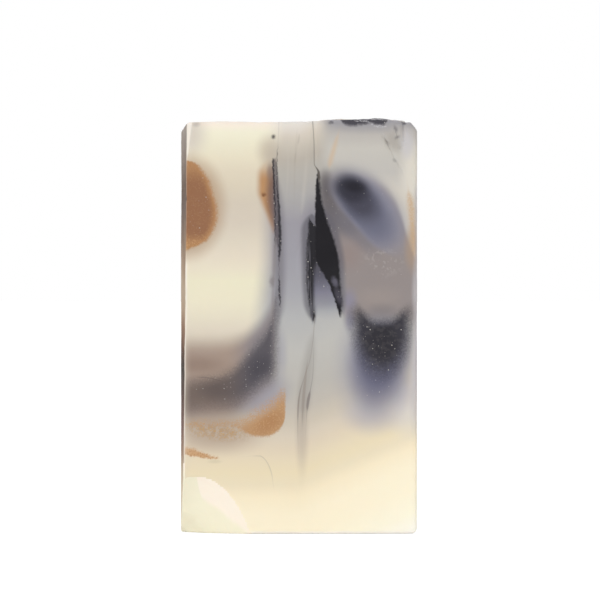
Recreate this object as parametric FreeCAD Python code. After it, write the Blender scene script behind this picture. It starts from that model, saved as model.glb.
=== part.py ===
import FreeCAD
import Part
import math
import os

# Bar of handmade soap, sliced from a tall loaf and standing on the end that was the mould's floor.
# It is one solid. The two big faces are wire cuts, the sides and the base come from the mould, and
# the top is the poured surface of the loaf. A knife has planed the top edges, and a curved slice is
# gone from the lower left corner of the front.
#
# Frame: millimetres, origin at the centre of the base, +X to the right of the front, front at -Y, +Z up.

# Bar as sliced
WIDTH = 51.0
HEIGHT = 88.8
THICKNESS = 25.0

# The left side was trimmed out of square: how far its front edge is set in
LEFT_TRIM_FOOT = 0.35
LEFT_TRIM_TOP = 1.2

# Poured top. It steps up to the right and drops at the shoulder, and its waves fade out towards both
# cut faces.
CREST_RISE = 0.6
CREST_START = 0.0           # X where the top starts to rise
CREST_RUN = 11.0            # X distance over which it rises
BACK_RISE = 0.8             # extra height of the crest at the back
SHOULDER_FALL = 0.6         # how far it drops again at the right
SHOULDER_START = 18.5
SHOULDER_RUN = 5.0
WAVE_HEIGHT = 0.45
WAVE_LENGTH = 17.0
WAVE_SWAY = 4.5             # how far each wave wanders in X between the two faces
SURFACE_COLUMNS = 25
SURFACE_ROWS = 11

# Worn and planed edges
BASE_RIGHT_RADIUS = 1.3
EDGE_RADIUS = 0.5              # the edges all round both cut faces
FRONT_LEFT_BEVEL = 0.3         # what is taken off each side of the front left edge
TOP_LEFT_PLANE = (1.7, 1.1)    # what the knife took off the top and off the side
TOP_RIGHT_PLANE = (1.5, 1.8)
NICK_WIDTH = 1.1               # short bevel on the front left edge: its width at the top,
NICK_DEPTH = 0.8               # its depth there,
NICK_LENGTH = 20.0             # and how far down it runs out

# Curved slice at the lower left corner of the front. Its rim lies in the front face, and the slice
# gets deeper towards the corner.
SLICE_SIDE_HEIGHT = 11.5        # rim's height above the base where it meets the left side
SLICE_SHOULDER = (5.4, 12.1)    # rim's highest point, right of the left side and above the base
SLICE_FLANK = (11.0, 7.8)       # rim's point half way down its right hand end
SLICE_FOOT = 14.9               # rim's distance from the left side where it meets the base
SLICE_STEPS = ((0.0, 1.0), (1.6, 0.8), (4.2, 0.5), (8.0, 0.3), (15.0, 0.12))   # depth, and the rim's scale

# Room by which cutting tools run past the bar
MARGIN = 3.0

LEFT = -WIDTH / 2
RIGHT = WIDTH / 2
FRONT = -THICKNESS / 2
BACK = THICKNESS / 2
BLANK_TOP = HEIGHT + CREST_RISE + BACK_RISE + WAVE_HEIGHT + MARGIN


def point(x, y, z):
    return FreeCAD.Vector(x, y, z)


def is_base_right(box):
    return box.XMin > RIGHT - MARGIN and box.ZMax < MARGIN and box.YLength > THICKNESS / 2


def is_round_cut_face(box):
    return box.YLength < MARGIN and box.ZMin < HEIGHT


def blank():
    """Slice of the loaf, still too tall, with the edges that the mould and handling have worn."""
    box = Part.makeBox(WIDTH, THICKNESS, BLANK_TOP, point(LEFT, FRONT, 0))
    box = box.makeFillet(BASE_RIGHT_RADIUS, [edge for edge in box.Edges if is_base_right(edge.BoundBox)])
    return box.makeFillet(EDGE_RADIUS, [edge for edge in box.Edges if is_round_cut_face(edge.BoundBox)])


def smooth_step(share):
    share = min(1.0, max(0.0, share))
    return share * share * (3 - 2 * share)


def top_height(x, y):
    """Height of the poured top above the base."""
    depth = min(1.0, max(0.0, (y - FRONT) / THICKNESS))
    crest = smooth_step((x - CREST_START) / CREST_RUN)
    shoulder = SHOULDER_FALL * smooth_step((x - SHOULDER_START) / SHOULDER_RUN)
    bulge = math.sin(math.pi * depth)
    sway = WAVE_SWAY * math.sin(2 * math.pi * depth)
    wave = math.sin(2 * math.pi * (x + sway) / WAVE_LENGTH)
    rise = crest * (CREST_RISE + BACK_RISE * depth) - shoulder
    return HEIGHT + rise + WAVE_HEIGHT * bulge * wave


def spread(low, high, count):
    return [low + (high - low) * step / (count - 1) for step in range(count)]


def above_poured_top():
    """Everything that lies above the poured surface of the loaf."""
    columns = spread(LEFT - MARGIN, RIGHT + MARGIN, SURFACE_COLUMNS)
    rows = spread(FRONT - MARGIN, BACK + MARGIN, SURFACE_ROWS)
    surface = Part.BSplineSurface()
    surface.interpolate([[point(x, y, top_height(x, y)) for y in rows] for x in columns])
    return surface.toShape().extrude(point(0, 0, 2 * MARGIN + BLANK_TOP - HEIGHT))


def beyond_plane(on_plane, corner):
    """Wedge between a triangle that a knife passes through and the corner that it takes off."""
    outward = (on_plane[1] - on_plane[0]).cross(on_plane[2] - on_plane[0])
    if outward.dot(corner - on_plane[0]) < 0:
        outward = outward * -1
    outward.normalize()
    size = 3 * HEIGHT
    slab = Part.makePlane(size, size, on_plane[0], outward)
    slab.translate(on_plane[0] - slab.CenterOfMass)
    return slab.extrude(outward * size)


def planed_top_edge(side, width, drop):
    """Bevel along a top edge: width is taken off the top, and drop off the side."""
    inward = -1 if side > 0 else 1
    top = HEIGHT + (CREST_RISE - SHOULDER_FALL if side > 0 else 0.0)
    on_plane = [
        point(side + inward * width, FRONT, top),
        point(side + inward * width, BACK, top),
        point(side, FRONT, top - drop),
    ]
    return beyond_plane(on_plane, point(side, 0, BLANK_TOP))


def front_left_edge(z):
    """X of the leaning front left edge at one height."""
    return LEFT + LEFT_TRIM_FOOT + (LEFT_TRIM_TOP - LEFT_TRIM_FOOT) * z / HEIGHT


def beyond_left_trim():
    """Thin wedge by which the left side is out of square, widest at the top of the front."""
    on_plane = [
        point(front_left_edge(0), FRONT, 0),
        point(front_left_edge(HEIGHT), FRONT, HEIGHT),
        point(LEFT, BACK, HEIGHT),
    ]
    return beyond_plane(on_plane, point(LEFT, FRONT, BLANK_TOP))


def front_left_bevel():
    """Narrow bevel down the whole of the front left edge."""
    on_plane = [
        point(front_left_edge(0) + FRONT_LEFT_BEVEL, FRONT, 0),
        point(front_left_edge(0), FRONT + FRONT_LEFT_BEVEL, 0),
        point(front_left_edge(HEIGHT) + FRONT_LEFT_BEVEL, FRONT, HEIGHT),
    ]
    return beyond_plane(on_plane, point(LEFT, FRONT, HEIGHT / 2))


def front_left_nick():
    """Wider bevel at the top of the front left edge, which runs out further down."""
    end = HEIGHT - NICK_LENGTH
    on_plane = [
        point(front_left_edge(HEIGHT) + NICK_WIDTH, FRONT, HEIGHT),
        point(front_left_edge(HEIGHT), FRONT + NICK_DEPTH, HEIGHT),
        point(front_left_edge(end), FRONT, end),
    ]
    return beyond_plane(on_plane, point(LEFT, FRONT, BLANK_TOP))


def slice_rim(depth, scale):
    """Outline of the curved slice at one depth, drawn in by scale towards a point off the bar's corner."""
    off_corner = point(LEFT - MARGIN, FRONT + depth, -MARGIN)

    def placed(right_of_side, above_base):
        return off_corner + point(right_of_side + MARGIN, 0, above_base + MARGIN) * scale

    outer_left = placed(-MARGIN, SLICE_SIDE_HEIGHT)
    side = placed(0, SLICE_SIDE_HEIGHT)
    foot = placed(SLICE_FOOT, 0)
    outer_foot = placed(SLICE_FOOT, -MARGIN)
    rim = Part.BSplineCurve()
    rim.interpolate([side, placed(*SLICE_SHOULDER), placed(*SLICE_FLANK), foot])
    return Part.Wire([
        Part.makeLine(off_corner, outer_left),
        Part.makeLine(outer_left, side),
        rim.toShape(),
        Part.makeLine(foot, outer_foot),
        Part.makeLine(outer_foot, off_corner),
    ])


def curved_slice():
    """What the knife took off the lower left corner, run on a little in front of the bar."""
    (first_depth, first_scale), (next_depth, next_scale) = SLICE_STEPS[:2]
    slope = (next_scale - first_scale) / (next_depth - first_depth)
    lead_in = (first_depth - 1.0, first_scale - slope)
    rims = [slice_rim(depth, scale) for depth, scale in (lead_in,) + SLICE_STEPS]
    return Part.makeLoft(rims, True, True)


def soap_bar():
    bar = blank()
    bar = bar.cut(above_poured_top())
    bar = bar.cut(beyond_left_trim())
    bar = bar.cut(front_left_bevel())
    bar = bar.cut(front_left_nick())
    bar = bar.cut(planed_top_edge(LEFT, *TOP_LEFT_PLANE))
    bar = bar.cut(planed_top_edge(RIGHT, *TOP_RIGHT_PLANE))
    bar = bar.cut(curved_slice())
    return bar


def main():
    os.makedirs("parts", exist_ok=True)
    bar = soap_bar()
    solid = bar.Solids[0]
    box = solid.optimalBoundingBox()
    print("soap_bar: solids", len(bar.Solids), "valid", solid.isValid(), "faces", len(solid.Faces))
    print("size %.2f x %.2f x %.2f mm" % (box.XLength, box.YLength, box.ZLength))
    print("volume %.1f cm3" % (solid.Volume / 1000))
    solid.exportStep("parts/soap_bar.step")


main()
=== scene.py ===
import math
import random
import bpy
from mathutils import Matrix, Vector, kdtree, noise


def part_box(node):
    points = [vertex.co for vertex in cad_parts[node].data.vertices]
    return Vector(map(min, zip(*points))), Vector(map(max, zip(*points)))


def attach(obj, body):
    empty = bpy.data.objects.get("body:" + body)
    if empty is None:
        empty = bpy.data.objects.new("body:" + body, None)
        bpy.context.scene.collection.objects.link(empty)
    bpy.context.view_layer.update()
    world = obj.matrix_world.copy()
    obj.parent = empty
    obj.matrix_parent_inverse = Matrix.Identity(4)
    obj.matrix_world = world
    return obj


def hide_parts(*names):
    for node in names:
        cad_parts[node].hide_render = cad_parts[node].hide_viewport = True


# Bar of marbled handmade soap, standing on end on a white ground.
#
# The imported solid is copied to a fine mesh, roughened as a wire cut and a poured top are, and painted
# with one solid texture. The texture is laid out on the front face, in millimetres: x to the right of
# the middle and z above the base. Behind the front it drifts, as swirled soap does, so that the sides,
# the top, the back and the slice at the lower left corner show the same marbling cut elsewhere.

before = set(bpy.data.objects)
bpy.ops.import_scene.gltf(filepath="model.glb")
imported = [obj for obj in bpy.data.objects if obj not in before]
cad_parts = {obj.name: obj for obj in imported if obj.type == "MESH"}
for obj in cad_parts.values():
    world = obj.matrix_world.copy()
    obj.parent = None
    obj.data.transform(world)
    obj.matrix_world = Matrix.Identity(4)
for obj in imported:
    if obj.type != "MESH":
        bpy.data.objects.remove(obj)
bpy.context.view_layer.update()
BAR_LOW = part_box("soap_bar")[0]

MM = 0.001
FRONT = BAR_LOW[1] / MM
LEFT = BAR_LOW[0] / MM

# Camera: level with the middle of the bar and a little to its left, a long way off
CAMERA_DISTANCE = 900.0     # from the front face
CAMERA_X = -24.0
AIM_X = 0.17
AIM_Z = 50.38
VIEW_WIDTH = 129.15         # how much of the front face's plane the picture takes in
SENSOR_WIDTH = 36.0

# Lamps: place, size and power of each. The key is far off, so that it lights the front evenly, and the
# low one stands at the left and lights that side.
LAMPS = {
    "key": ((-150.0, -2000.0, 300.0), 1200.0, 13.5),
    "overhead": ((0.0, 100.0, 1500.0), 1000.0, 7.0),
    "back": ((900.0, 1300.0, 600.0), 900.0, 6.0),
    "low": ((-1500.0, -900.0, 150.0), 900.0, 8.0),
}
SKY_STRENGTH = 0.55

# White ground: what it gives back to the bar, what the camera sees of its shading, and the glow that
# makes it white there. The glow is a little weaker near the bar, where the shadow falls.
GROUND_SIZE = 200000.0
GROUND_BOUNCE = 0.88
GROUND_SHADING = 0.35
NEAR_GLOW = 0.8
FAR_GLOW = 1.0
GLOW_START = 150.0
GLOW_FULL = 700.0

# Fine mesh
VOXEL = 0.42

# Relief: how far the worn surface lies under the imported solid's, in millimetres. Nothing lies over it.
# Each kind of unevenness has its depth, the size of its lumps and a number that picks its own noise.
SEED = 7
GRAIN = (0.04, 1.1, 3)          # everywhere
CUT_WAVES = (0.14, 9.0, 5)      # on the two cut faces
SIDE_WAVES = (0.12, 8.0, 7)     # on the mould's sides
TOP_LUMPS = (0.3, 3.4, 11)      # on the poured top
EDGE_CHIPS = (0.22, 2.4, 13)    # along the worn edges
CRUST_LUMPS = (0.36, 1.5, 23)   # on the dark crust at the right of the top
CRUST_SPAN = (5.0, 9.0, 21.0, 24.5)    # x where the crust starts, is full, fades and ends
CREST_DIP = (0.08, 18.5, 4.0)   # hollow in the crest: depth, x and half its length
KNIFE_MARKS = (0.07, 2.3)       # across the slice: depth, and how far apart
PIT_COUNT = 46                  # on the hidden sides
PIT_RADIUS = (0.5, 1.0)
PIT_DEPTH = (0.15, 0.4)

# Distances from the lower left corner up to which the front is flat, and from which it has its waves
CALM = (21.5, 28.0)

# How squarely a spot has to face front or back, sideways or up for the relief there to start and be
# full, and how far from all of these for a worn edge
FACES_CUT = (0.5, 0.9)
FACES_SIDE = (0.6, 0.95)
FACES_TOP = (0.5, 0.9)
ON_EDGE = (0.04, 0.2)

# Grooves in the front: both ends (x, z), half their width, and their depth
GROOVES = [
    ((22.6, 84.6), (22.4, 88.8), 0.55, 0.38),
    ((18.3, 85.5), (19.6, 82.9), 0.55, 0.26),
    ((19.6, 82.9), (22.6, 77.5), 0.45, 0.12),
    ((20.6, 87.2), (21.3, 85.0), 0.45, 0.2),
    ((3.1, 89.0), (3.1, 79.4), 0.4, 0.14),
    ((-22.3, 33.8), (-17.0, 33.0), 0.4, 0.1),
]
# Pits in the front that the photo shows (x, z), and their radius and depth
FRONT_PITS = [(-5.55, 85.5), (-7.6, 73.0), (6.9, 88.4), (22.0, 83.2)]
FRONT_PIT_SIZE = (0.7, 0.3)

# Picture plane of the texture: its coordinates run from 0 to 1 over these spans
SPAN_X = 60.0
SPAN_Z = 90.0

# Drift of the marbling: the depths where it starts and is full, how far it goes, and over what lumps
DRIFT_START = 0.4
DRIFT_FULL = 16.0
DRIFT = 34.0
DRIFT_LUMP = 26.0

# White specks: how many fit side by side in a millimetre, and for their radius (as a share of that room)
# and their strength the least and how much more the most has
SPECKS_PER_MM = 1.5
SPECK_SIZE = (0.09, 0.16)
SPECK_STRENGTH = (0.08, 0.6)

# Curved slice: its reach from the lower left corner, with a soft end, and a height that it stays under
SLICE_REACH = (15.1, 15.5)
SLICE_TOP = 14.0


def linear(colour):
    """Linear red, green, blue and alpha of a colour written as six hex digits."""
    parts = [int(colour[start:start + 2], 16) / 255 for start in (0, 2, 4)]
    values = [part / 12.92 if part <= 0.04045 else ((part + 0.055) / 1.055) ** 2.4 for part in parts]
    return values + [1.0]


class Nodes:
    """Builds the nodes of one tree. Most methods add nodes and give the last one's output."""

    def __init__(self, tree):
        self.tree = tree
        self.tree.nodes.clear()

    def node(self, kind, inputs=(), **settings):
        """A node with settings, whose inputs, by name or number, are set or joined."""
        made = self.tree.nodes.new("ShaderNode" + kind)
        for name, value in settings.items():
            setattr(made, name, value)
        for socket, value in dict(inputs).items():
            if isinstance(value, bpy.types.NodeSocket):
                self.tree.links.new(value, made.inputs[socket])
            else:
                made.inputs[socket].default_value = value
        return made

    def math(self, operation, first, second=0.0, third=0.0):
        return self.node("Math", {0: first, 1: second, 2: third}, operation=operation).outputs[0]

    def vector(self, operation, first, second):
        return self.node("VectorMath", {0: first, 1: second}, operation=operation).outputs[0]

    def scaled(self, vector, factor):
        return self.node("VectorMath", {0: vector, "Scale": factor}, operation="SCALE").outputs[0]

    def parts(self, vector):
        """x, y and z of a vector."""
        return self.node("SeparateXYZ", {0: vector}).outputs

    def distance(self, across, up, centre=(0.0, 0.0)):
        """How far a place in a plane is from centre."""
        flat = self.node("CombineXYZ", {0: across, 1: up}).outputs[0]
        inputs = {0: flat, 1: (*centre, 0.0)}
        return self.node("VectorMath", inputs, operation="DISTANCE").outputs["Value"]

    def times(self, *amounts):
        result = amounts[0]
        for amount in amounts[1:]:
            result = self.math("MULTIPLY", result, amount)
        return result

    def step(self, value, none_at, full_at, strength=1.0):
        """Soft step: 0 at none_at, strength at full_at."""
        inputs = {"Value": value, "From Min": none_at, "From Max": full_at, "To Max": strength}
        return self.node("MapRange", inputs, interpolation_type="SMOOTHSTEP").outputs[0]

    def noise(self, place, size, detail=2.0, rough=0.5):
        """Noise whose lumps are size millimetres across. Gives its value and its colour."""
        inputs = {"Vector": place, "Scale": 1 / size, "Detail": detail, "Roughness": rough}
        made = self.node("TexNoise", inputs)
        return made.outputs["Fac"], made.outputs["Color"]

    def curve(self, value, points):
        """Smooth curve through points from 0 to 1, read at value."""
        made = self.node("FloatCurve", {"Value": value})
        line = made.mapping.curves[0]
        made.mapping.extend = "HORIZONTAL"
        points = sorted(points)
        while len(line.points) < len(points):
            line.points.new(0.5, 0.5)
        for spot, place in zip(line.points, points):
            spot.location = place
            spot.handle_type = "AUTO_CLAMPED"
        made.mapping.update()
        return made.outputs[0]

    def ramp(self, value, stops):
        """Colours along value. Each stop is a place from 0 to 1 and a colour."""
        made = self.node("ValToRGB", {"Fac": value})
        spots = made.color_ramp.elements
        while len(spots) < len(stops):
            spots.new(1.0)
        for spot, (place, colour) in zip(spots, stops):
            spot.position = place
            spot.color = linear(colour)
        return made.outputs["Color"]

    def mix(self, amount, under, over):
        inputs = {0: amount, 6: under, 7: over}
        return self.node("Mix", inputs, data_type="RGBA").outputs[2]


class Paint(Nodes):
    """Builds the nodes of one material."""

    def __init__(self, name):
        self.material = bpy.data.materials.new(name)
        self.material.use_nodes = True
        super().__init__(self.material.node_tree)


class Marbling(Paint):
    """Solid texture of the soap. Each layer covers what was laid before it."""

    def __init__(self, name):
        super().__init__(name)
        self.place = self.scaled(self.node("TexCoord").outputs["Object"], 1 / MM)
        self.depth = self.math("SUBTRACT", self.parts(self.place)[1], FRONT)
        drifted = self.drift(self.place)
        self.smooth = self.picture_plane(drifted, wobble=0.22, lump=7.0)
        self.rough = self.picture_plane(drifted, wobble=0.6, lump=0.7)
        self.grain = self.noise(drifted, 0.3, 2.0)[0]
        self.coarse_grain = self.noise(drifted, 0.8, 2.0)[0]
        self.brush = self.noise(self.vector("MULTIPLY", drifted, (1.0, 1.0, 0.05)), 0.42, 2.0)[0]
        self.colour = None

    def drift(self, place):
        """Place moved sideways and up by an amount that grows behind the front face."""
        reach = self.step(self.depth, DRIFT_START, DRIFT_FULL, DRIFT)
        away = self.vector("SUBTRACT", self.noise(place, DRIFT_LUMP, 1.0)[1], (0.5, 0.5, 0.5))
        return self.vector("ADD", place, self.scaled(away, reach))

    def picture_plane(self, place, wobble, lump):
        """x and z, with a little noise in them, both from 0 to 1 over the spans and in millimetres."""
        away = self.vector("SUBTRACT", self.noise(place, lump)[1], (0.5, 0.5, 0.5))
        moved = self.parts(self.vector("ADD", place, self.scaled(away, wobble)))
        x, z = moved[0], moved[2]
        across = self.math("MULTIPLY_ADD", x, 1 / SPAN_X, 0.5)
        up = self.math("MULTIPLY", z, 1 / SPAN_Z)
        return {"x": across, "z": up, "x_mm": x, "z_mm": z}

    def at_height(self, points, plane=None):
        """Curve of x against height. Points are (z, x) in millimetres; the result is in spans."""
        spots = [(z / SPAN_Z, x / SPAN_X + 0.5) for z, x in points]
        return self.curve((plane or self.smooth)["z"], spots)

    def at_side(self, points, plane=None):
        """Curve of height against x. Points are (x, z) in millimetres; the result is in spans."""
        spots = [(x / SPAN_X + 0.5, z / SPAN_Z) for x, z in points]
        return self.curve((plane or self.smooth)["x"], spots)

    def blob(self, at, size, tilt=0.0, full=0.5, none=1.0, strength=1.0, plane=None):
        """Soft ellipse: strength inside its share full of size, nothing outside its share none."""
        plane = plane or self.smooth
        turn = math.radians(tilt)
        axes = ((math.cos(turn), math.sin(turn)), (-math.sin(turn), math.cos(turn)))
        shares = []
        for length, (right, up) in zip(size, axes):
            start = -(at[0] * right + at[1] * up) / length
            part = self.math("MULTIPLY_ADD", plane["x_mm"], right / length, start)
            shares.append(self.math("MULTIPLY_ADD", plane["z_mm"], up / length, part))
        return self.step(self.distance(*shares), none, full, strength)

    def height_step(self, none_at, full_at, strength=1.0, plane=None):
        """Soft step along the height, between two heights in millimetres."""
        return self.step((plane or self.smooth)["z"], none_at / SPAN_Z, full_at / SPAN_Z, strength)

    def side_step(self, none_at, full_at, strength=1.0):
        """Soft step across the front, between two x in millimetres."""
        none_at, full_at = none_at / SPAN_X + 0.5, full_at / SPAN_X + 0.5
        return self.step(self.smooth["x"], none_at, full_at, strength)

    def past(self, first, second, none_at, full_at, span, strength=1.0):
        """Soft step by how far first lies past second. Both are in spans, and the step in millimetres."""
        return self.step(self.math("SUBTRACT", first, second), none_at / span, full_at / span, strength)

    def between(self, place, low, high, soft_low, soft_high, span, strength=1.0):
        """Soft region where place lies between two curves."""
        above = self.past(place, low, -soft_low, soft_low, span)
        below = self.past(high, place, -soft_high, soft_high, span, strength)
        return self.math("MULTIPLY", above, below)

    def column(self, left, right, soft=0.2, soft_right=None, strength=1.0, plane=None):
        """Region between two curves of x against height."""
        plane = plane or self.smooth
        low, high = self.at_height(left, plane), self.at_height(right, plane)
        return self.between(plane["x"], low, high, soft, soft_right or soft, SPAN_X, strength)

    def layer(self, low, high, soft=0.2, soft_high=None, strength=1.0, plane=None):
        """Region between two curves of height against x."""
        plane = plane or self.smooth
        low, high = self.at_side(low, plane), self.at_side(high, plane)
        return self.between(plane["z"], low, high, soft, soft_high or soft, SPAN_Z, strength)

    def thread(self, centre, width, soft=0.12, strength=1.0, plane=None, upright=True):
        """Thin line along a curve. The lists hold (z, x) and (z, width), or if it isn't upright (x, z)
        and (x, width)."""
        plane = plane or self.smooth
        span = SPAN_X if upright else SPAN_Z
        along, across = ("z", "x") if upright else ("x", "z")
        middle = self.at_height(centre, plane) if upright else self.at_side(centre, plane)
        if upright:
            spots = [(z / SPAN_Z, wide) for z, wide in width]
        else:
            spots = [(x / SPAN_X + 0.5, wide) for x, wide in width]
        half = self.math("MULTIPLY", self.curve(plane[along], spots), 0.5 / span)
        away = self.math("ABSOLUTE", self.math("SUBTRACT", plane[across], middle))
        return self.past(half, away, 0.0, 2 * soft, span, strength)

    def grains(self, amount, breadth):
        """The same region with grains in its soft edge."""
        edge = self.times(amount, self.math("SUBTRACT", 1.0, amount), 8 * breadth)
        loose = self.times(edge, self.math("SUBTRACT", self.grain, 0.5))
        return self.node("Clamp", {0: self.math("ADD", amount, loose)}).outputs[0]

    def colours(self, height, stops, low=0.0, high=SPAN_Z):
        """Colours along a height in spans. Each stop is a height in millimetres and a colour."""
        span = high - low
        place = self.math("MULTIPLY_ADD", height, SPAN_Z / span, -low / span)
        return self.ramp(place, [((z - low) / span, colour) for z, colour in stops])

    def facing(self, axis):
        """How far the surface faces along an axis: 0 for x, 1 for y and 2 for z."""
        return self.parts(self.node("TexCoord").outputs["Normal"])[axis]

    def lay(self, colour, *amounts):
        """Covers what was laid so far with a colour, by the product of the amounts."""
        over = linear(colour) if isinstance(colour, str) else colour
        self.colour = self.mix(self.times(*amounts), self.colour, over)

    def dab(self, colour, at, size, strength, tilt=0.0, full=0.1, plane=None, within=None):
        """Lays one soft ellipse of a colour, as far as the region within reaches."""
        amount = self.blob(at, size, tilt, full, strength=strength, plane=plane)
        self.lay(colour, amount, *([] if within is None else [within]))


def ground_colour(soap):
    """Cream at the base, lilac grey half way up, and pale again at the top."""
    right = soap.math("MAXIMUM", soap.math("SUBTRACT", soap.smooth["x"], 0.5), 0)
    climb = 0.43    # how much higher the colours lie for each millimetre right of the middle
    height = soap.math("MULTIPLY_ADD", right, -climb * SPAN_X / SPAN_Z, soap.smooth["z"])
    stops = [
        (-11, "fffbf0"), (-6, "fff8e1"), (-1, "fff4da"), (4, "fef2d7"), (8, "f9ebcd"), (10.6, "ede0c3"),
        (13.2, "ebddbd"), (15.7, "e7d9bd"), (18.3, "e0d2bb"), (21, "d9cdbb"), (23.5, "cec4b4"),
        (27, "c2bbb1"), (31, "bcb8b1"), (39, "bfbdb8"), (46.8, "b4b4b4"), (52, "a8a7ac"),
        (60, "9f9da4"), (67, "9d9aa1"), (72.7, "adaaa8"), (78, "b6b1a9"), (80.5, "bab2a7"),
        (83, "c6beb1"), (85.6, "d5ccbf"), (88.5, "e7e1d9"),
    ]
    soap.colour = soap.colours(height, stops, low=-12)


def cream_column(soap):
    """Pale column at the left, yellowest at the top and two thirds of the way down."""
    stops = [
        (40, "cfc3b2"), (44, "ded4c2"), (47, "e6dec8"), (50, "ebe4cb"), (54.5, "ebe5ca"),
        (57, "e8dfc9"), (60, "e3d8c5"), (63, "ddd3c1"), (67, "d6cbbb"), (71, "d4c9b8"), (75, "dacfba"),
        (78, "dfd4be"), (81, "e7dec6"), (84, "ece6ce"), (86.5, "f1ecd5"), (88.5, "f8ecde"),
    ]
    colour = soap.colours(soap.smooth["z"], stops)
    right = [(36, -9.8), (42, -8.8), (48, -7.8), (56, -6.7), (60, -6.2), (80, -5.9), (88, -4.5)]
    side = soap.past(soap.at_height(right), soap.smooth["x"], -2.2, 3.4, SPAN_X)
    top = soap.height_step(34, 39)
    soap.lay(colour, side, top)
    soap.dab("d0c7bd", (-24.5, 86), (6.5, 7), 0.8, full=0.2)
    soap.dab("a39083", (-6.8, 82.6), (3.6, 4.8), 0.4)


def taupe_field(soap):
    """Warm grey cloud at the right, and the paler soap above and beside it."""
    left = [(44, 10.6), (48, 9.6), (55, 9.2), (60, 8.2), (66, 6.4), (74, 5), (80, 4.6)]
    right = [(44, 27), (60, 26.5), (68, 25.5), (80, 24.5)]
    ends = soap.times(soap.height_step(79.5, 74), soap.height_step(43, 48))
    soap.lay("948b89", soap.column(left, right, 1.3, 3), ends)
    soap.dab("656062", (6.6, 71.5), (3.2, 8.5), 0.9, tilt=8, full=0.2)
    soap.dab("5c585b", (5.6, 75.4), (2.2, 4), 0.6)
    soap.dab("6a676e", (9.6, 67.6), (5.6, 5.2), 0.8, tilt=-40, full=0.2)
    soap.dab("737079", (13.2, 64.2), (7.5, 3.2), 0.6, tilt=-45, full=0.2)
    soap.dab("96827c", (10.5, 60), (5, 5), 0.4)
    soap.dab("a39790", (17, 51), (7, 3.5), 0.4)
    smears = soap.blob((18.2, 58.8), (6, 4.5), full=0.2)
    soap.lay("bab5b0", smears, soap.step(soap.coarse_grain, 0.56, 0.64, 0.3))
    stops = [(74, "d0cac0"), (78, "c2beb8"), (83, "c7c3bb"), (86, "bdb8b2"), (89, "a19ea1")]
    pale = soap.colours(soap.smooth["z"], stops)
    low = [
        (4, 79.5), (8, 79.4), (13, 77.9), (17, 75.6), (20, 72.6), (21.8, 69), (23.2, 64.5), (24.6, 61),
        (27, 57),
    ]
    high = [(4, 95), (27, 95)]
    soap.lay(pale, soap.layer(low, high, 1.8, 1), soap.side_step(3.6, 7.2))
    soap.dab("e2dccf", (24.6, 78), (4, 8), 0.75, full=0.2)


def navy_cloud(soap):
    """Blue black cloud high on the right, which trails off down to the right."""
    left = [
        (58, 23.6), (59.6, 20.2), (60.8, 17.7), (63, 15), (65.8, 12.6), (68.6, 10.2), (71, 8.1),
        (73.3, 6.6), (75.6, 5.8), (77.6, 5.9), (79.5, 7.6),
    ]
    inside = soap.past(soap.smooth["x"], soap.at_height(left), -0.9, 1.5, SPAN_X)
    soap.dab("8f8e9c", (15, 69.5), (13.5, 8.2), 0.96, tilt=-50, full=0.42, within=inside)
    soap.dab("696a7c", (14.2, 69.6), (12, 6.4), 0.95, tilt=-50, full=0.35, within=inside)
    soap.dab("464552", (12.7, 72.2), (8, 4.9), 0.97, tilt=-48, full=0.3, within=inside)
    soap.dab("302f3a", (11.2, 74.3), (5.2, 3.9), 0.92, tilt=-20, full=0.35, within=inside)
    soap.dab("201e27", (11.8, 74.8), (3.4, 1.8), 0.9, tilt=-10, full=0.2)


def dark_cup(soap):
    """Black crescent at the right, open at the top, with a blue grey glow under it."""
    below = soap.height_step(49.5, 43)
    soap.dab("d6d5d8", (23.6, 26), (6.5, 7), 0.5)
    soap.dab("a9a8b6", (16, 26), (9.4, 6), 0.55)
    soap.dab("a9a9ba", (21.8, 30.6), (4.4, 5.4), 0.5)
    soap.dab("8b8aa2", (10.8, 50.2), (2.4, 3.8), 0.55)
    soap.dab("75748c", (11, 45.8), (1.9, 3.4), 0.6)
    soap.dab("9e9da9", (16.6, 37.6), (10.7, 17.6), 0.88, tilt=-7, full=0.27, within=below)
    soap.dab("64647a", (17.2, 37.4), (8.2, 13.4), 0.95, tilt=-7, full=0.3, within=below)
    high = [
        (9.5, 50), (12.7, 48.7), (14, 47.4), (15.3, 46.3), (16.6, 45.7), (17.9, 45.6), (19.2, 45.7),
        (20.5, 46.3), (21.8, 47.4), (23.2, 48.6), (25, 49.4),
    ]
    open_top = soap.past(soap.at_side(high), soap.smooth["z"], -1.9, 1.7, SPAN_Z)
    soap.dab("726e70", (18, 47.8), (4.6, 2.6), 0.35, full=0.2)
    cup = soap.times(soap.blob((17.85, 44.8), (6.35, 10.8), full=0.62, none=1.28), open_top)
    soap.lay("37353d", soap.grains(cup, 0.35))
    soap.dab("29272d", (18, 41.6), (4.6, 5.4), 0.7, full=0.4, within=cup)
    soap.lay("cdc8c2", cup, soap.step(soap.coarse_grain, 0.48, 0.62, 0.03))


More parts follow.
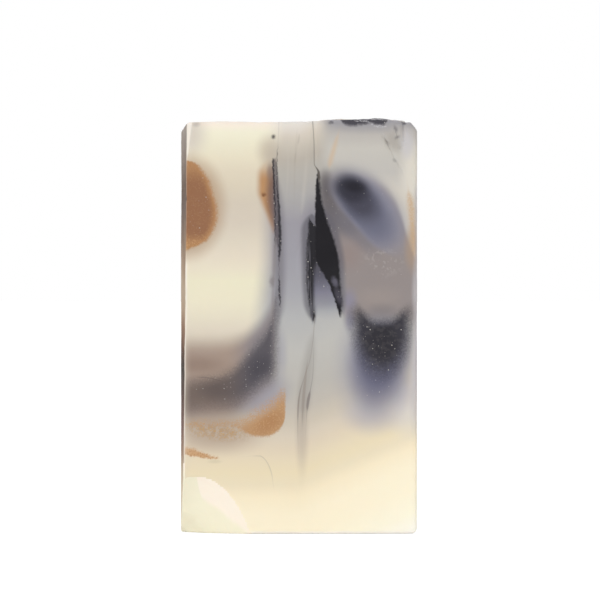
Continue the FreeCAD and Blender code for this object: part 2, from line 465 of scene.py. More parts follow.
def taupe_sweep(soap):
    """Dark band that comes in from the left edge and turns up beside the cream column."""
    soap.dab("9f9ca6", (-7.4, 29.6), (8, 5.4), 0.85, tilt=35, full=0.2)
    soap.dab("8f8da0", (-3.9, 38.5), (2, 8), 0.4)
    end = [(26, -5.1), (34, -5.3), (40, -5.2), (50, -5.1), (60, -5.2)]
    inside = soap.past(soap.at_height(end), soap.smooth["x"], -1.7, 1.6, SPAN_X)
    top = [
        (-25.5, 40.8), (-21.3, 40.8), (-17, 40.9), (-14.2, 41.4), (-11.2, 42.8), (-9.6, 44.1),
        (-8.4, 45.3), (-7.4, 46.6), (-6.4, 48.2), (-5.4, 50.4),
    ]
    foot = [(-25.5, 24), (-18.3, 24.2), (-13, 25.8), (-10, 28.2), (-7, 31.2), (-5, 32.6)]
    soft_top = soap.past(soap.at_side(top), soap.smooth["z"], -2.7, 2.5, SPAN_Z)
    soft_foot = soap.past(soap.smooth["z"], soap.at_side(foot), -3.4, 3.2, SPAN_Z)
    left_part = soap.side_step(-9, -16)
    upper = soap.mix(left_part, linear("8b8486"), linear("a59285"))
    lower = soap.mix(left_part, linear("8f878a"), linear("8c7d76"))
    body = soap.mix(soap.height_step(31, 35), lower, upper)
    soap.lay(body, soft_top, soft_foot, inside)
    soap.dab("8c776b", (-21.5, 36.4), (8.4, 2.8), 0.6)
    high = [
        (-25.5, 32.2), (-21.3, 32.9), (-17, 34), (-14, 35.5), (-12.5, 36.9), (-10.3, 39.3),
        (-8.7, 41.2), (-7.3, 42.9), (-6.3, 44.9), (-5.6, 47.8), (-5, 52.4),
    ]
    low = [(-25.5, 27), (-18.3, 27.4), (-13, 28.6), (-10.4, 30.4), (-8, 32.2), (-6.2, 33.4), (-5, 33.8)]
    core = soap.times(soap.layer(low, high, 2.7, 2.2), inside)
    dark = soap.side_step(-20, -9)
    soap.lay(soap.mix(dark, linear("73655e"), linear("58545a")), soap.grains(core, 0.4))
    soap.dab("46434b", (-8.6, 36), (4.6, 3), 0.7, tilt=52, within=core)
    soap.dab("5b5150", (-18, 31.2), (5.8, 3.6), 0.6, within=core)
    centre = [(-22.5, 33.8), (-19.5, 33.6), (-17, 33), (-14, 32.4)]
    width = [(-22.5, 0), (-20.5, 0.4), (-18, 0.4), (-16.5, 0)]
    soap.lay("4a4346", soap.thread(centre, width, 0.15, 0.5, upright=False))


def clay_lens(soap):
    """Brown lens at the left edge, ringed with orange and speckled along its foot."""
    soap.dab("b9a188", (-24.6, 70.4), (10.4, 13.2), 0.9, full=0.6)
    right = [
        (61, -24), (61.6, -22.9), (62.4, -21), (63.5, -19.5), (64.6, -18.8), (65.7, -18.2),
        (67.1, -17.75), (69, -17.5), (71.7, -17.85), (73.3, -18.4), (75.5, -19.1), (76.9, -19.75),
        (78.5, -20.9), (79.8, -22.2), (80.4, -24), (80.7, -27),
    ]
    side = soap.at_height(right, soap.rough)
    band = soap.height_step(60.4, 61.6, plane=soap.rough)
    whole = soap.times(soap.past(side, soap.rough["x"], -0.5, 0.9, SPAN_X), band)
    soap.lay("b0835a", soap.grains(whole, 0.9))
    inner = soap.past(side, soap.rough["x"], 0.3, 2, SPAN_X)
    low = soap.height_step(62.4, 65, plane=soap.rough)
    high = soap.height_step(80.2, 75, plane=soap.rough)
    soap.lay("94694c", inner, low, high)
    soap.lay("c19a70", whole, soap.step(soap.grain, 0.54, 0.66, 0.16))
    foot = soap.times(whole, soap.height_step(65.4, 61.4, 0.7, soap.rough))
    soap.lay("cba170", foot, soap.step(soap.grain, 0.5, 0.62))


def clay_streak(soap):
    """Orange streak beside the dark lines, with one darker spot."""
    left = [
        (82, -4.4), (80, -7.65), (77.5, -8.75), (74, -8.75), (71.5, -8.05), (69, -7), (66.5, -6),
        (64.5, -5.1), (63, -3.6),
    ]
    right = [(82, -5.9), (76, -5.5), (66, -5.3), (63, -5.8)]
    fade = soap.height_step(81.4, 76)
    body = soap.times(soap.column(left, right, 0.9, 0.3), fade)
    soap.lay("b98d63", body)
    soap.dab("765f57", (-5, 73), (2.9, 10), 0.9, full=0.35, within=body)
    soap.dab("7f7370", (-6.3, 78), (1.1, 2.8), 0.6)
    soap.dab("7d5439", (-7.6, 73), (0.75, 0.7), 0.8, full=0.2, plane=soap.rough)


def clay_patch(soap):
    """Orange patch right of the sweep's foot, and the grainy trail that runs from it to the left."""
    soap.dab("b3a08f", (-17.8, 21.9), (13.5, 6.2), 0.78, full=0.2)
    trail = soap.blob((-18, 22.4), (10.2, 3), tilt=-7, full=0.1, strength=0.85)
    soap.lay("b2987d", trail, soap.step(soap.coarse_grain, 0.4, 0.6))
    soap.lay("c09b69", trail, soap.step(soap.grain, 0.52, 0.62))
    low = [
        (-15, 23.2), (-12.4, 22.4), (-11.2, 21.7), (-10.1, 21.2), (-7.4, 20.98), (-5.2, 21.75),
        (-3.9, 22.95), (-3.1, 24.95), (-2.72, 31),
    ]
    high = [
        (-15, 22.9), (-12.4, 23.9), (-11.2, 24.7), (-9.6, 25.8), (-7.4, 27.1), (-5.2, 28.8),
        (-3.8, 30.1), (-2.9, 30.5),
    ]
    end = soap.side_step(-2.6, -3.4)
    patch = soap.times(soap.layer(low, high, 0.5, 2.6), end)
    soap.lay("b9916a", soap.grains(patch, 0.9))
    soap.dab("b0835a", (-6.4, 24), (5, 2.6), 0.85, tilt=34, full=0.2, within=patch)
    soap.lay("d0ac80", patch, soap.step(soap.grain, 0.54, 0.66, 0.4))


def clay_sliver(soap):
    """Short orange sliver at the left edge, under the trail."""
    low = [(-26, 17.4), (-24.6, 17.2), (-23.5, 16.9), (-21.1, 16.5), (-18, 16.2), (-16.5, 16.7)]
    high = [(-26, 19), (-24.4, 18.8), (-22.2, 18.1), (-20.2, 17.3), (-17.6, 16.5), (-16.5, 16)]
    sliver = soap.layer(low, high, 0.3, 0.5, plane=soap.rough)
    soap.lay("cba37a", soap.grains(sliver, 0.9))
    soap.lay("b5875a", sliver, soap.step(soap.grain, 0.52, 0.62, 0.7))
    soap.dab("c2b79c", (-18.2, 15.6), (2.2, 0.6), 0.3, full=0.2)


def right_edge_clay(soap):
    """Orange tint at the right edge, pale lilac below it, and the faint thread above the cloud."""
    soap.dab("a8927f", (24.8, 61.5), (2.8, 7), 0.75, full=0.3)
    centre = [(78, 22.8), (73, 23.8), (68, 24.4), (64, 24.7), (58, 25.2)]
    width = [(77.5, 0), (74, 1.8), (69, 3), (65, 3), (59, 0)]
    soap.lay("c8a985", soap.grains(soap.thread(centre, width, 0.8, 0.75), 0.6))
    strip = [
        (78, 25.6), (72, 25.2), (62, 25.2), (58, 25), (52, 24.6), (47, 24.9), (40, 24.5), (28, 24),
        (20, 24.6),
    ]
    outer = [(78, 29), (20, 29)]
    ends = soap.times(soap.height_step(79, 73), soap.height_step(18, 34))
    soap.lay("c3bfc2", soap.column(strip, outer, 0.8, strength=0.85), ends)
    centre = [(88, 8.9), (86.5, 8.5), (82.6, 7.4), (79.4, 6.6), (76, 6.4)]
    width = [(88.5, 0), (86, 1.6), (81, 2.2), (79, 1), (77.5, 0)]
    soap.lay("ceb394", soap.thread(centre, width, 0.6, 0.65))


def dark_streak(soap):
    """Pair of dark lines left of the middle, and the greyer line that they run out into."""
    centre = [(84, -5.2), (78, -5), (70, -4.6), (62, -4.4), (50, -4.3), (44, -4.8), (38, -5.4)]
    width = [(84, 0), (78, 2.4), (70, 4), (62, 4.4), (52, 4), (46, 2.6), (40, 0)]
    soap.lay("6f6b72", soap.thread(centre, width, 1, 0.62))
    centre = [(72, -5.2), (66, -5.1), (58, -5.4), (50, -5.7), (44, -5.6), (38, -5.4)]
    width = [(68, 0), (64, 1), (58, 1.4), (54, 1), (50, 1.3), (44, 0.8), (38, 0)]
    soap.lay("857c7c", soap.thread(centre, width, 0.35, 0.4))
    left = [(82, -4.2), (80, -5.6), (70, -5.5), (64, -5.1), (58, -3.6)]
    right = [(82, -5.6), (80, -4.9), (70, -4.3), (64, -4.2), (58, -5.2)]
    soap.lay("544c51", soap.column(left, right, 0.3, strength=0.75))
    centre = [(82, -5.65), (80.2, -5.65), (77, -5.5), (73.5, -5.35), (69, -5.2), (64, -5.2), (58, -5.4)]
    width = [(81.2, 0), (79.8, 0.75), (78, 0.75), (74, 0.65), (69, 0.55), (64, 0.4), (59, 0)]
    soap.lay("2b272e", soap.thread(centre, width, 0.16, 0.9, soap.rough))
    centre = [
        (84, -4.5), (82.4, -4.7), (79, -4.8), (74, -4.7), (71, -4.4), (66.2, -4.2), (63.5, -4.1),
        (58.6, -4.35), (54, -4.3), (50, -4.15),
    ]
    width = [
        (84.5, 0), (82, 0.4), (76, 0.5), (71, 0.75), (66, 0.95), (62, 0.95), (59.5, 0.6), (58.2, 0.4),
        (56.5, 0.3), (54, 0.65), (51, 0.65), (48.4, 0),
    ]
    soap.lay("29272d", soap.thread(centre, width, 0.18, 0.92, soap.rough))
    soap.dab("6f6668", (-5.9, 54.4), (0.9, 1.9), 0.5, plane=soap.rough)
    soap.dab("4c4747", (-5.55, 85.5), (0.75, 0.7), 0.9, plane=soap.rough)
    centre = [(89.5, -4.4), (86, -4.5), (82, -4.7)]
    soap.lay("7d7672", soap.thread(centre, [(89.5, 0.4), (84, 0.3), (82, 0)], 0.2, 0.5))
    centre = [(87.5, -5.9), (85.5, -5.6), (84, -5.5)]
    soap.lay("8e8782", soap.thread(centre, [(87, 0), (85.5, 0.3), (84, 0)], 0.2, 0.6))


def left_blade(soap):
    """Black blade that is streaked with grey, as though brushed, and frays at its left side."""
    soap.dab("72707a", (3.4, 62.5), (4.2, 13), 0.55, full=0.2)
    fringe_left = [(70, 5), (68, 1.6), (65, 0.5), (58, 0.6), (52, 0.8), (48, 1.5), (44, 4.6)]
    fringe_right = [(70, 1.5), (67.5, 3.6), (60, 3.6), (52, 3.9), (48, 3.8), (44, 3.2)]
    soap.lay("5f5d65", soap.column(fringe_left, fringe_right, 0.6, 0.35, 0.7))
    left = [
        (69.5, 3.4), (68, 2.2), (65.4, 1.95), (62, 1.6), (57, 1.55), (54, 1.6), (51, 1.9), (48.5, 2.3),
        (46.6, 2.65), (45, 3.6),
    ]
    right = [
        (69.5, 1.4), (68, 2.3), (66.9, 2.9), (65.4, 4), (60, 4.2), (57.6, 3.75), (54, 3.6), (51, 3.6),
        (48, 3.5), (46.6, 3.4), (45, 2.6),
    ]
    blade = soap.column(left, right, 0.35, 0.2, 0.95, soap.rough)
    soap.lay("17151a", blade)
    brushed = soap.times(blade, soap.side_step(3.7, 2, 0.9), soap.height_step(66, 57))
    soap.lay("716f77", brushed, soap.step(soap.brush, 0.52, 0.66))
    streaks = [
        ([(66, 1.8), (60, 1.75), (54, 1.9), (50, 2)], [(66, 0), (62, 0.4), (55, 0.4), (50, 0)]),
        ([(58, 2.5), (54, 2.5), (50, 2.6), (46, 2.8)],
         [(58, 0), (55, 0.3), (51, 0.4), (47, 0.5), (44.5, 0)]),
    ]
    for centre, width in streaks:
        soap.lay("6f6d75", soap.thread(centre, width, 0.16, 0.6, soap.rough))


def right_blade(soap):
    """Black blade with a straight right side, with a small lilac window and the thread above its tip."""
    stops = [
        (47.5, "a0a0a6"), (50.2, "8c8c95"), (52, "7f7d8c"), (53.6, "6b6a78"), (55.6, "55535f"),
        (58, "48464f"),
    ]
    shade = soap.colours(soap.smooth["z"], stops, 46, 60)
    left = [(60, 4.4), (57, 3.3), (54, 3.2), (50, 3.2), (47.5, 3.3), (45.5, 9)]
    right = [(60, 3), (57, 5.4), (54, 7), (50, 8.8), (47.5, 9.8), (45.5, 5)]
    foot = soap.height_step(45.5, 50)
    soap.lay(shade, soap.column(left, right, 0.5, 0.5, 0.95), foot)
    centre = [
        (79, 4.6), (72, 5.1), (67.5, 6.3), (63.2, 7.5), (58.9, 8.4), (54.6, 8.9), (50.3, 9.4),
        (46, 9.7),
    ]
    width = [(79, 0), (70, 3), (64, 4.2), (56, 3.4), (50, 2.4), (46, 0)]
    soap.lay("66636b", soap.thread(centre, width, 0.7, 0.75))
    left = [
        (79, 4.9), (77.6, 3.95), (76, 3.65), (74, 3.55), (70, 3.45), (62, 3.5), (59.4, 3.6), (58.2, 4),
        (57.2, 4.5), (56.3, 5.05), (55.3, 5.65), (53.7, 6.45), (52, 7.05), (50.3, 7.7), (48.4, 8.25),
        (46.8, 8.8), (45, 10.2),
    ]
    right = [
        (79, 4.1), (77.6, 4.25), (76, 4.4), (72, 4.85), (69.7, 5.4), (67.5, 6.05), (65.4, 6.8),
        (63.2, 7.6), (61, 8.15), (58.9, 8.6), (56.7, 8.8), (54.6, 8.85), (52.4, 9.05), (50.3, 9.25),
        (48.1, 9.2), (46.8, 8.95), (45, 8),
    ]
    blade = soap.column(left, right, 0.22, 0.4, plane=soap.rough)
    soap.lay("17151a", blade)
    soap.dab("63606d", (7.7, 54.3), (0.95, 1.7), 0.8, tilt=24, full=0.2, plane=soap.rough)
    soap.dab("5e5b68", (8.5, 51.2), (1.1, 3), 0.5, tilt=18, full=0.2, within=blade)
    centre = [(89, 2.9), (84, 3.2), (79.6, 3.25), (79, 3.6), (78.3, 4.05), (77, 4.25), (75, 4.2)]
    width = [(90, 0.5), (86.5, 0.4), (80, 0.4), (78.8, 0.6), (77.2, 0.8), (76, 0.5), (75, 0)]
    soap.lay("57514c", soap.thread(centre, width, 0.16, 0.9))


def thin_threads(soap):
    """Hair lines that run down from the blades, and one that turns down at the lower left."""
    soap.dab("a3988f", (0.6, 22.5), (2, 13.5), 0.42)
    centre = [(48, 3.2), (42, 2.7), (36, 1.9), (31, 1.3), (24, 0.8)]
    width = [(48, 0), (44, 3), (38, 4.2), (31, 4.6), (26, 2.6), (22, 0)]
    soap.lay("8d8782", soap.thread(centre, width, 1.1, 0.4))
    lines = [
        ([(46, 3.3), (42, 3), (37, 2.2), (34, 1.2), (30, 0.1), (24, -0.3), (17, -0.2), (13, 0.5)],
         [(47.5, 0), (45, 0.4), (36, 0.35), (30, 0.6), (28, 0.65), (24, 0.4), (12, 0)], "8b827c", 0.75),
        ([(45.5, 3.3), (38, 3.1), (34, 2.9), (31, 2.4), (28.5, 1.9), (24, 1.5), (17, 1.2)],
         [(45.5, 0), (38, 0.3), (31, 0.4), (29, 0.9), (27.5, 0.8), (26, 0.35), (15, 0)], "7d7573", 0.75),
        ([(38, 1.9), (34, 1.4), (30, 1), (26, 0.7), (22, 0.6)],
         [(39, 0), (34, 0.7), (30, 0.9), (26, 0.6), (21, 0)], "958b83", 0.55),
        ([(17, -8.6), (16.2, -7.5), (14.6, -6.5), (12.7, -5.9), (10, -5.5), (7.5, -5)],
         [(17.1, 0), (16.4, 0.5), (15, 0.5), (12, 0.35), (7.2, 0)], "b3aa99", 0.5),
    ]
    for centre, width, colour, strength in lines:
        soap.lay(colour, soap.thread(centre, width, 0.15, strength))
    centre = [(-19, 16.2), (-12, 16.6), (-9.6, 16.8), (-8.2, 16.7), (-6.9, 15.6)]
    width = [(-16, 0), (-10, 0.3), (-8.4, 0.5), (-7, 0)]
    soap.lay("b9af9e", soap.thread(centre, width, 0.15, 0.4, upright=False))


def wisps(soap):
    """Upright milky and grey wisps, in the soap between the cream column and the blades."""
    lines = [
        ([(88, -0.4), (80, -0.9), (72, -1.1), (66, -1.4)],
         [(88, 0), (82, 0.9), (72, 0.6), (66, 0)], "9c9285", 0.4),
        ([(88, 1.2), (80, 1.5), (74, 1), (68, 0.4)],
         [(87, 0), (81, 1.4), (74, 1.6), (68, 0)], "cfc9be", 0.25),
        ([(87, -2.6), (80, -2.4), (72, -2.8)], [(87, 0), (80, 1.4), (71, 0)], "c9c3ba", 0.4),
        ([(86, 0), (84.4, -0.2), (81.6, -0.8), (78, -1.1), (73, -0.5)],
         [(86.5, 0), (84.6, 0.9), (83.2, 0.3), (81.5, 0.7), (79, 0.3), (73, 0)], "7f776d", 0.6),
        ([(66, 2.9), (60, -0.4), (54, -0.6)], [(66, 0), (60, 1.6), (54, 0)], "acabb4", 0.4),
    ]
    for centre, width, colour, strength in lines:
        soap.lay(colour, soap.thread(centre, width, 0.5, strength))


def soot_ridge(soap):
    """Dark crust along the top edge at the right, with grey smears, a scratch and dark spots under it, a
    painted highlight along the top edge and an upright painted highlight by the right edge.
    """
    low = [(5, 89.2), (8.6, 87.6), (14, 87), (19, 87.2), (21, 88.6), (25.5, 88)]
    high = [(5, 96), (25.5, 96)]
    soap.lay("9c9a9f", soap.layer(low, high, 1.4, strength=0.6))
    # Painted highlight: an upright pale streak by the right edge
    soap.dab("c9c6ca", (23.2, 84), (2.2, 4.6), 0.6, full=0.2)
    soap.dab("a39c94", (20.4, 84.4), (2.2, 3.4), 0.55, tilt=28, full=0.2)
    low = [
        (8.3, 90.4), (9.2, 88.8), (10.4, 88.1), (11.6, 87.9), (12.8, 88.1), (14.4, 88.3), (15.4, 88.5),
        (16.2, 88.3), (17.4, 88), (18.4, 88.3), (19.4, 89.8),
    ]
    high = [(4.5, 96), (23.8, 96)]
    crust = soap.layer(low, high, 0.5, plane=soap.rough)
    soap.lay("4a484f", soap.grains(crust, 0.6))
    centre = [
        (11.4, 89), (12.6, 89), (14.4, 88.9), (15.4, 88.5), (16.2, 88), (17.4, 87.8), (18.8, 87.8),
    ]
    width = [(11.4, 0), (12.4, 0.5), (14.4, 0.6), (16, 0.8), (18, 0.8), (19, 0)]
    # Painted highlight along the top edge
    top_edge_highlight = [(12, 89.6), (15, 89.55), (17, 89.5), (19, 89.4), (22, 89.1)]
    top_edge_highlight_width = [(14, 0), (15.5, 0.8), (19, 0.9), (22, 0)]
    soap.lay("bab8bc", soap.thread(top_edge_highlight, top_edge_highlight_width, 0.15, 0.7, soap.rough, upright=False))
    flecks = soap.thread(centre, width, 0.2, plane=soap.rough, upright=False)
    soap.lay("c6c4c8", flecks, soap.step(soap.grain, 0.42, 0.56, 0.9))
    # Dark spots over the pits and grooves in the front
    dark_spots = [
        ((22.6, 88.6), (0.8, 0.7), 0.8, 0), ((6.9, 88.6), (0.9, 0.45), 0.7, 10),
        ((20.8, 87.3), (0.6, 1.3), 0.5, 20), ((21.2, 85.5), (0.9, 0.6), 0.45, 30),
        ((20.5, 80.5), (0.45, 0.8), 0.3, 35), ((18.9, 84.4), (0.5, 1.2), 0.3, 40),
    ]
    for at, size, strength, tilt in dark_spots:
        soap.dab("56545a", at, size, strength, tilt, plane=soap.rough)
    centre = [(85.4, 18.4), (84, 19), (82.4, 19.8), (80.2, 20.8), (77.5, 22.6)]
    width = [(85.6, 0), (84.6, 0.6), (82.4, 0.35), (80.4, 0.35), (77, 0)]
    soap.lay("746d66", soap.thread(centre, width, 0.2, 0.6, soap.rough))
    centre = [(88.5, 22.4), (86.5, 22.3), (84.6, 22.6)]
    soap.lay("6f6b70", soap.thread(centre, [(88.8, 0.6), (86.5, 0.4), (84.4, 0)], 0.25, 0.6, soap.rough))
    centre = [(87, 20.6), (86, 21), (85, 21.2)]
    soap.lay("6f6a6c", soap.thread(centre, [(87.3, 0), (86.2, 0.5), (84.9, 0)], 0.2, 0.6, soap.rough))


def top_crust(soap):
    """Dark mottled crust on the poured top, and plain pale soap round it."""
    upward = soap.times(soap.step(soap.facing(2), 0.6, 0.9), soap.step(soap.depth, 0.3, 1.6))
    soap.lay("ddd6cc", upward, soap.step(soap.coarse_grain, 0.2, 0.8, 0.5))
    away = soap.math("MULTIPLY_ADD", soap.noise(soap.place, 5, 3)[0], 9, -4.5)
    place = soap.parts(soap.place)
    radius = soap.distance(place[0], place[1], (13, FRONT + 7))
    crust = soap.times(upward, soap.step(soap.math("ADD", radius, away), 10, 6.5))
    soap.lay("55535a", soap.grains(crust, 0.8))
    soap.lay("a8a6aa", crust, soap.step(soap.grain, 0.5, 0.62, 0.8))


def front_left_highlights(soap):
    """Pale painted highlight down the front left edge, wide where the nick is, with a painted highlight
    on the lip at the top left and painted shade beside it.
    """
    # Painted shade beside the lip at the top left corner, then a painted highlight on the lip
    soap.dab("b5ada4", (-22.2, 88.2), (1.3, 0.9), 0.6)
    soap.dab("f0ece4", (-23.7, 88.4), (0.6, 0.8), 0.7, full=0.2)
    nick = soap.height_step(68, 84, 0.8)
    reach = soap.math("ADD", nick, 0.35)
    near = soap.step(soap.math("SUBTRACT", soap.depth, reach), 0.3, 0)
    centre = [(0, -25), (88.8, -24.1)]
    width = [(0, 0.7), (42, 0.8), (50, 1.1), (58, 0.8), (61, 0.3), (78, 0.3), (82, 1.6), (88.8, 2.6)]
    line = soap.thread(centre, width, 0.2, 0.8)
    # Painted highlight along the front left edge's bevel
    soap.lay("f3ece1", line, near)
    rim = soap.side_step(-23, -25.2, 0.3)
    low = soap.height_step(58, 50)
    soap.lay("ddd2c4", rim, near, low)


def shaded_left_side(soap):
    """The mould's left side: level bands of the soap's own colours, painted darker than the front as
    painted shade.
    """
    side = soap.step(soap.facing(0), -0.75, -0.97)
    sway = soap.math("MULTIPLY_ADD", soap.noise(soap.place, 9, 2)[0], 7, -3.5)
    swayed = soap.math("ADD", soap.parts(soap.place)[2], sway)
    stops = [
        (0, "e6d8c0"), (10, "d8c7ad"), (14, "bfac94"), (17, "a08570"), (22, "75584e"), (30, "513e36"),
        (35.5, "352d25"), (39.5, "5a3f30"), (44, "8f705b"), (48, "b39c84"), (53, "b8a48d"),
        (58, "a48c76"), (64, "85705f"), (70, "6a5a52"), (76, "6d5c50"), (82, "8a7d74"), (88, "a0968e"),
    ]
    # Painted shade: these bands are darker than the soap, for the shade that side lies in
    soap.lay(soap.colours(soap.math("DIVIDE", swayed, SPAN_Z), stops), side)


def base_edge(soap):
    """Pale line along the base."""
    soap.lay("fffaf2", soap.step(soap.parts(soap.place)[2], 0.9, 0.2, 0.8))


def knife_slice(soap):
    """Pale soap that the curved slice lays bare, painted lighter to make up for the shade it lies in:
    pinkish along its rim, brighter there as a painted highlight, and greener and a little darker inside
    as painted shade.
    """
    place = soap.parts(soap.place)
    full_at, none_at = SLICE_REACH
    corner = soap.step(soap.distance(place[0], place[2], (LEFT, 0)), none_at, full_at)
    bared = soap.times(corner, soap.step(soap.depth, 0.03, 0.12), soap.step(soap.facing(1), -0.2, -0.3))
    # The slice's soap, painted near white to make up for the shade it lies in
    soap.lay("fff3e4", bared)
    low = [(-26, -5), (-9, -5)]
    high = [
        (-26, 14), (-22.4, 13), (-21.7, 10), (-21.2, 7.8), (-19.8, 6.5), (-17.5, 5.1), (-15.4, 3.4),
        (-13.6, 2.1), (-11.6, 0.5), (-9, -2),
    ]
    # Inside the rim: greener and a little darker, as painted shade
    soap.lay("f7f1d9", bared, soap.layer(low, high, 0.5, 0.9))


def white_specks(soap):
    """Tiny pale grains, plentiful in the dark soap, and scarce in the pale and in the blue cloud."""
    cells = soap.node("TexVoronoi", {"Vector": soap.place, "Scale": SPECKS_PER_MM})
    chance = soap.node("SeparateColor", {0: cells.outputs["Color"]}).outputs
    smallest, spread = SPECK_SIZE
    size = soap.math("MULTIPLY_ADD", chance[0], spread, smallest)
    grain = soap.step(soap.math("SUBTRACT", size, cells.outputs["Distance"]), 0, 0.08)
    value = soap.node("RGBToBW", {0: soap.colour}).outputs[0]
    dark = soap.step(value, 0.5, 0.05)
    some = soap.step(soap.math("MULTIPLY_ADD", dark, 0.62, chance[1]), 0.84, 0.9)
    shown = soap.times(soap.step(value, 0.6, 0.35), soap.step(value, 0.009, 0.014))
    cloud = soap.blob((13.6, 70.5), (13, 7.5), tilt=-50, full=0.6, strength=0.75)
    shown = soap.times(shown, soap.math("SUBTRACT", 1, cloud))
    faintest, spread = SPECK_STRENGTH
    glint = soap.math("MULTIPLY_ADD", soap.times(chance[2], chance[2]), spread, faintest)
    soap.lay("cdc8c2", grain, some, shown, glint)


def finish_surface(soap):
    """Waxy, slightly translucent surface over the marbling."""
    fine = soap.noise(soap.place, 0.6, 3)[0]
    broad = soap.noise(soap.place, 9, 2)[0]
    cast = soap.step(soap.depth, 0.3, 1.2, 0.25)
    patches = soap.step(broad, 0.3, 0.7, 0.12)
    roughness = soap.math("ADD", soap.math("ADD", cast, patches), 0.42)
    height = soap.math("MULTIPLY_ADD", broad, 0.5, soap.math("MULTIPLY", fine, 0.05))
    bump = soap.node("Bump", {"Height": height, "Strength": 0.25, "Distance": 0.4 * MM}).outputs[0]
    shader = soap.node("BsdfPrincipled", {
        "Base Color": soap.colour,
        "Roughness": roughness,
        "Normal": bump,
        "IOR": 1.45,
        "Specular IOR Level": 0.15,
        "Subsurface Weight": 0.15,
        "Subsurface Radius": (1, 0.8, 0.6),
        "Subsurface Scale": 0.8 * MM,
    })
    output = soap.node("OutputMaterial", {"Surface": shader.outputs[0]})
    output.is_active_output = True


def marbled_soap():
    soap = Marbling("marbled_soap")
    layers = [
        ground_colour, cream_column, taupe_field, navy_cloud, dark_cup, taupe_sweep, clay_lens,
        clay_patch, clay_sliver, right_edge_clay, wisps, clay_streak, dark_streak, left_blade,
        right_blade, thin_threads, soot_ridge, top_crust, front_left_highlights, shaded_left_side, base_edge,
        knife_slice, white_specks, finish_surface,
    ]
    for layer in layers:
        layer(soap)
    return soap.material


def fine_copy(node, name):
    """Even, fine mesh that follows a CAD solid."""
    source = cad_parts[node]
    bar = bpy.data.objects.new(name, source.data.copy())
    bpy.context.collection.objects.link(bar)
    remesh = bar.modifiers.new("even", "REMESH")
    remesh.mode = "VOXEL"
    remesh.voxel_size = VOXEL * MM
    remesh.use_smooth_shade = True
    follow = bar.modifiers.new("follow", "SHRINKWRAP")
    follow.target = source
    follow.wrap_method = "NEAREST_SURFACEPOINT"
    evaluated = bar.evaluated_get(bpy.context.evaluated_depsgraph_get())
    mesh = bpy.data.meshes.new_from_object(evaluated)
    bar.modifiers.clear()
    bar.data = mesh
    mesh.name = name
    mesh.materials.clear()
    return bar


def rise(value, low, high):
    """Smooth step from 0 at low to 1 at high."""
    share = min(1.0, max(0.0, (value - low) / (high - low)))
    return share * share * (3 - 2 * share)


def uneven(place, kind, power=1):
    """Depth of one kind of unevenness at one spot. A higher power leaves more of the surface flat."""
    deep, size, shift = kind
    spot = place / size + Vector((SEED, shift, SEED + shift))
    return deep * min(1.0, max(0.0, 0.5 + 0.7 * noise.noise(spot))) ** power


def groove_depth(place):
    """Depth of the grooves in the front at one spot."""
    depth = 0.0
    flat = Vector((place.x, place.z))
    for start, end, half_width, deepest in GROOVES:
        start, along = Vector(start), Vector(end) - Vector(start)
        share = min(1.0, max(0.0, (flat - start).dot(along) / along.length_squared))
        away = (flat - start - along * share).length
        depth = max(depth, deepest * rise(half_width - away, 0.0, half_width))
    return depth


def top_depth(place):
    """Depth of the lumps, the crust and the hollow in the crest, on the poured top."""
    start, full, fade, end = CRUST_SPAN
    crust = rise(place.x, start, full) * (1 - rise(place.x, fade, end))
    depth = uneven(place, TOP_LUMPS, 2) + crust * uneven(place, CRUST_LUMPS, 2)
    deep, middle, half_length = CREST_DIP
    return depth + deep * rise(half_length - abs(place.x - middle), 0.0, half_length)


def relief_depth(place, normal):
    """How far the worn surface lies under the solid's at one spot."""
    cut, side, top = abs(normal.y), abs(normal.x), max(0.0, normal.z)
    from_corner = Vector((place.x - LEFT, place.z)).length
    depth = uneven(place, GRAIN) + rise(cut, *FACES_CUT) * uneven(place, CUT_WAVES)
    if normal.y < -0.96:
        depth *= rise(from_corner, *CALM)
    depth += rise(side, *FACES_SIDE) * uneven(place, SIDE_WAVES)
    depth += rise(top, *FACES_TOP) * top_depth(place)
    slant = 1 - max(cut, side, abs(normal.z))
    depth += rise(slant, *ON_EDGE) * uneven(place, EDGE_CHIPS, 2)
    if place.y < FRONT + 0.6 and normal.y < -0.6:
        depth += groove_depth(place)
    if place.y > FRONT + 0.2 and place.z < SLICE_TOP and normal.y < -0.15:
        deep, size = KNIFE_MARKS
        depth += deep * (0.5 + 0.5 * math.sin(from_corner / size * 2 * math.pi))
    return depth


def pit_places(spots):
    """Middle, radius and depth of each round pit: those of the photo, and random ones elsewhere."""
    chance = random.Random(SEED)
    pits = [(Vector((x, FRONT, z)), *FRONT_PIT_SIZE) for x, z in FRONT_PITS]
    hidden = [place for place, normal in spots if normal.y > -0.3 and normal.z > -0.3]
    for place in chance.sample(hidden, PIT_COUNT):
        pits.append((place, chance.uniform(*PIT_RADIUS), chance.uniform(*PIT_DEPTH)))
    return pits


def carve_relief(mesh):
    """Moves each point of the fine mesh inwards. The base stays flat."""
    spots = [(vertex.co / MM, vertex.normal.copy()) for vertex in mesh.vertices]
    depths = [relief_depth(place, normal) for place, normal in spots]
    finder = kdtree.KDTree(len(spots))
    for number, spot in enumerate(spots):
        finder.insert(spot[0], number)
    finder.balance()
    for middle, radius, deepest in pit_places(spots):
        for _, number, away in finder.find_range(middle, radius):
            depths[number] += deepest * rise(radius - away, 0.0, radius)
    for vertex, (place, normal), depth in zip(mesh.vertices, spots, depths):
        inward = Vector((normal.x, normal.y, max(0.0, normal.z)))
        vertex.co = (place - inward * depth) * MM
    mesh.update()


def build_bar():
    bar = fine_copy("soap_bar", "soap_body")
    carve_relief(bar.data)
    bar.data.materials.append(marbled_soap())
    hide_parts("soap_bar")
    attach(bar, "root")
    return bar


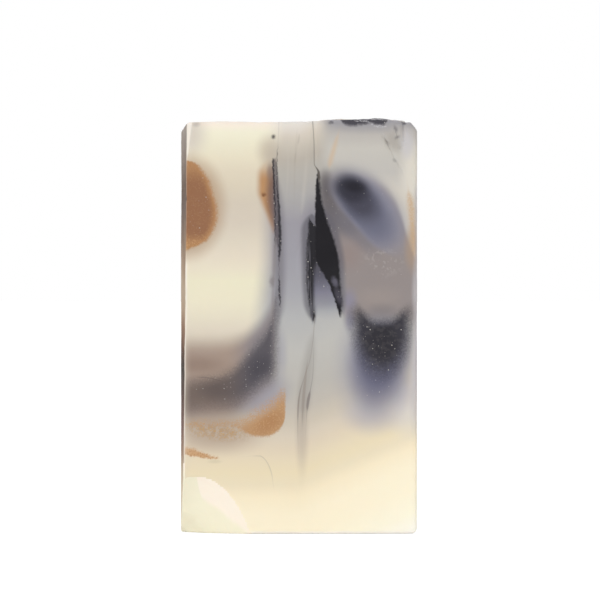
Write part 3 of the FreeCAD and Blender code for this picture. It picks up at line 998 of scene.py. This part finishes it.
def build_ground():
    """White ground that stays white to the camera and still takes the bar's shadow."""
    half = GROUND_SIZE * MM / 2
    mesh = bpy.data.meshes.new("ground")
    corners = [(-half, -half, 0), (half, -half, 0), (half, half, 0), (-half, half, 0)]
    mesh.from_pydata(corners, [], [(0, 1, 2, 3)])
    ground = bpy.data.objects.new("ground", mesh)
    bpy.context.collection.objects.link(ground)
    paint = Paint("white_ground")
    seen = paint.node("LightPath").outputs["Is Camera Ray"]
    place = paint.parts(paint.node("TexCoord").outputs["Object"])
    inputs = {
        "Value": paint.distance(place[0], place[1]),
        "From Min": GLOW_START * MM,
        "From Max": GLOW_FULL * MM,
        "To Min": NEAR_GLOW,
        "To Max": FAR_GLOW,
    }
    glow = paint.node("MapRange", inputs, interpolation_type="SMOOTHSTEP").outputs[0]
    bounce = (GROUND_BOUNCE,) * 3 + (1.0,)
    shading = (GROUND_SHADING,) * 3 + (1.0,)
    plain = paint.node("BsdfDiffuse", {"Color": paint.mix(seen, bounce, shading)}).outputs[0]
    white = paint.node("Emission", {"Strength": paint.math("MULTIPLY", seen, glow)}).outputs[0]
    both = paint.node("AddShader", {0: plain, 1: white}).outputs[0]
    paint.node("OutputMaterial", {"Surface": both})
    mesh.materials.append(paint.material)


def build_sky():
    """Even pale light from all round, pure white where the camera or a reflection sees it."""
    world = bpy.data.worlds.new("sky")
    world.use_nodes = True
    bpy.context.scene.world = world
    sky = Nodes(world.node_tree)
    path = sky.node("LightPath").outputs
    seen = sky.math("MAXIMUM", path["Is Camera Ray"], path["Is Glossy Ray"])
    clear = sky.math("MAXIMUM", seen, path["Is Transmission Ray"])
    strength = sky.node("MapRange", {"Value": clear, "To Min": SKY_STRENGTH, "To Max": 1.0}).outputs[0]
    white = (1.0, 1.0, 1.0, 1.0)
    background = sky.node("Background", {"Color": white, "Strength": strength}).outputs[0]
    sky.node("OutputWorld", {"Surface": background})


def build_lamp(name, place, size, power):
    lamp = bpy.data.lights.new(name, "AREA")
    lamp.shape = "SQUARE"
    lamp.size = size * MM
    lamp.energy = power
    holder = bpy.data.objects.new(name, lamp)
    holder.location = Vector(place) * MM
    target = Vector((0.0, 0.0, AIM_Z * MM))
    holder.rotation_euler = (target - holder.location).to_track_quat("-Z", "Y").to_euler()
    bpy.context.collection.objects.link(holder)


def build_camera():
    data = bpy.data.cameras.new("camera")
    data.sensor_width = SENSOR_WIDTH
    data.lens = SENSOR_WIDTH * CAMERA_DISTANCE / VIEW_WIDTH
    data.clip_end = 100.0
    camera = bpy.data.objects.new("camera", data)
    camera.location = Vector((CAMERA_X, FRONT - CAMERA_DISTANCE, AIM_Z)) * MM
    target = Vector((AIM_X, FRONT, AIM_Z)) * MM
    camera.rotation_euler = (target - camera.location).to_track_quat("-Z", "Y").to_euler()
    bpy.context.collection.objects.link(camera)
    bpy.context.scene.camera = camera


def main():
    build_bar()
    build_ground()
    build_sky()
    for name, (place, size, power) in LAMPS.items():
        build_lamp(name, place, size, power)
    build_camera()
    bpy.context.scene.view_settings.view_transform = "Standard"


main()
